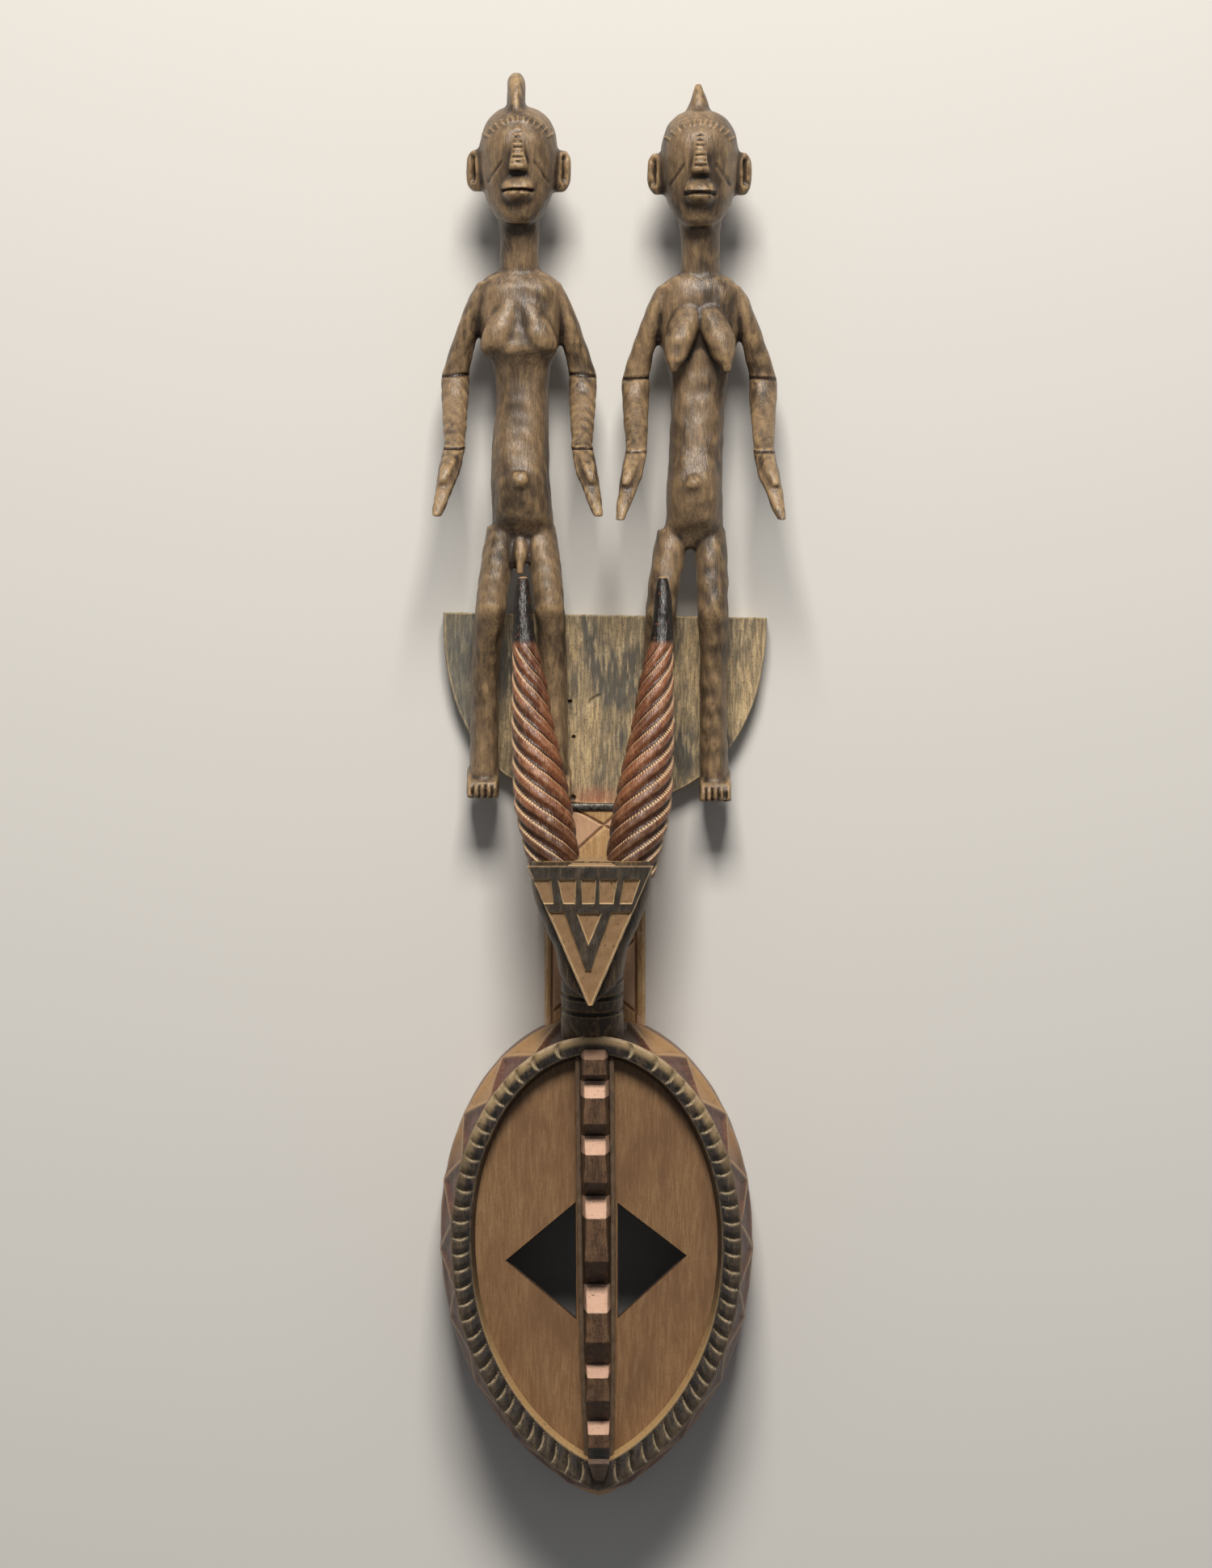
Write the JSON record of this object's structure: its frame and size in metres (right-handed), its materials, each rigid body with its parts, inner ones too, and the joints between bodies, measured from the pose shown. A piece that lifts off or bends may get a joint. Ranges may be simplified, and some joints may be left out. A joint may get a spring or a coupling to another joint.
{
  "type": "bamana horned mask",
  "caption": "Carved wooden face mask with a notched rim, antelope head with twisted horns, and a plank and half-round plate carrying two standing figures; it lies on its back.",
  "frame": {"origin": "centre of the bounding box, on the plane of the flat back", "axes": "+Y from the chin towards the figures' heads, +Z out of the face, +X to the viewer's right"},
  "size_m": [0.2826, 1.1504, 0.175],
  "materials": {
    "carved_wood": "dark patinated wood with worn paint and rubbed edges",
    "dark_metal": "dull dark grey metal"
  },
  "bodies": {
    "root": {"wood_carving": "carved_wood", "cross_strap": "dark_metal"}
  },
  "joints": []
}
